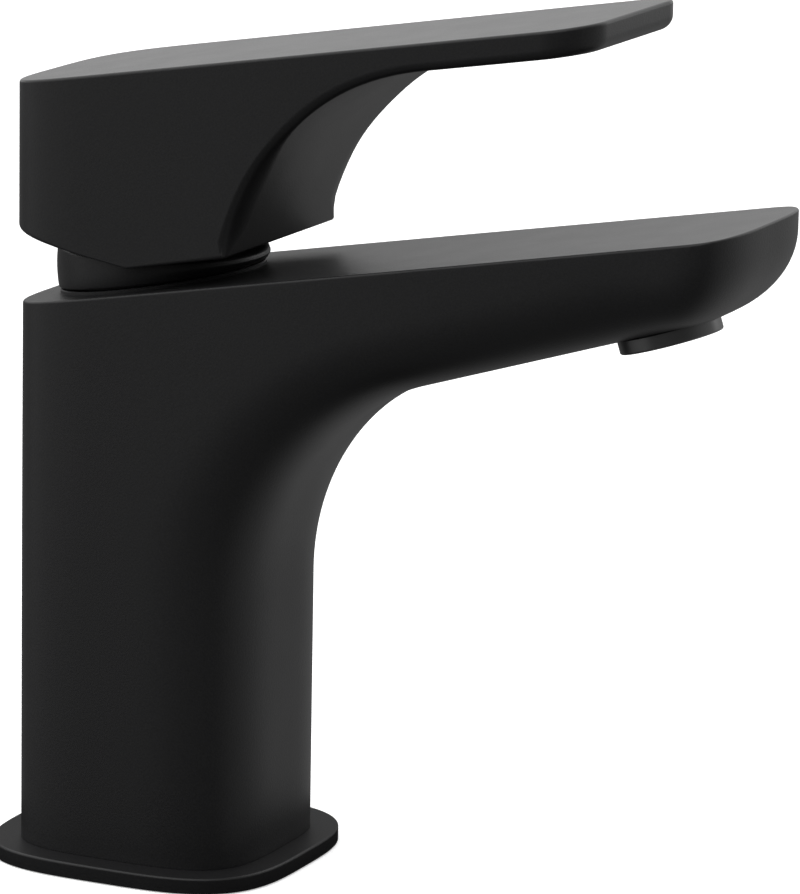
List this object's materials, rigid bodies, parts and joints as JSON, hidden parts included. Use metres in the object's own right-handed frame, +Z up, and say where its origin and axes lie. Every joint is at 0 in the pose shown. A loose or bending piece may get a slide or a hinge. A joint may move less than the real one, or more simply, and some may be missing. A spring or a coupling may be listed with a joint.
{
  "type": "basin mixer tap",
  "caption": "Single-lever basin mixer with a soft-square column, a rising forward spout, a block handle with a flat lever, and its deck clamp.",
  "frame": {"origin": "the basin deck's top face, under the middle of the column", "axes": "+Z up, -Y towards the spout's tip, +X to the right as seen from in front of the spout"},
  "size_m": [0.0566, 0.1496, 0.2196],
  "materials": {
    "black_paint": "matte black powder coat with a fine even grain, on cast metal",
    "black_ring": "smoother satin black coat on a turned metal ring",
    "brass": "plain machined brass",
    "steel": "plain stainless steel, turned or stamped",
    "white_plastic": "natural white moulded plastic",
    "grey_plastic": "grey moulded plastic",
    "ceramic": "lapped ivory ceramic",
    "rubber": "black moulded rubber"
  },
  "bodies": {
    "faucet_body": {"body_casting": "black_paint", "base_flange": "black_paint", "base_gasket": "rubber", "collar": "black_paint", "cartridge_nut": "brass", "cartridge_housing": "white_plastic", "cartridge_base": "white_plastic", "port_seal": "rubber", "fixed_disc": "ceramic", "aerator_ring": "black_ring", "aerator_core": "grey_plastic", "aerator_screen": "steel", "aerator_washer": "rubber", "mounting_stud": "steel", "deck_seal": "rubber", "clamp_plate": "steel", "mounting_nut": "brass"},
    "swivel": {"swivel_guide": "grey_plastic", "pivot_pin": "steel"},
    "lever": {"stem": "brass", "handle": "black_paint", "handle_screw": "steel", "screw_cap": "black_paint"},
    "disc": {"disc_carrier": "grey_plastic", "moving_disc": "ceramic"}
  },
  "joints": [
    {"name": "temperature_swivel", "type": "hinge", "parent": "faucet_body", "child": "swivel", "pos_m": [0, 0.0015, 0.1104], "axis": [0, 0, 1], "range_deg": [-45, 45]},
    {"name": "lever_lift", "type": "hinge", "parent": "swivel", "child": "lever", "pos_m": [0, 0.0015, 0.1104], "axis": [-1, 0, 0], "range_deg": [0, 20]},
    {"name": "disc_slide", "type": "slide", "parent": "swivel", "child": "disc", "axis": [0, -1, 0], "range_m": [0, 0.0043]}
  ],
  "couplings": [
    {"joint": "disc_slide", "follows": "lever_lift", "m_per_rad": 0.012}
  ]
}
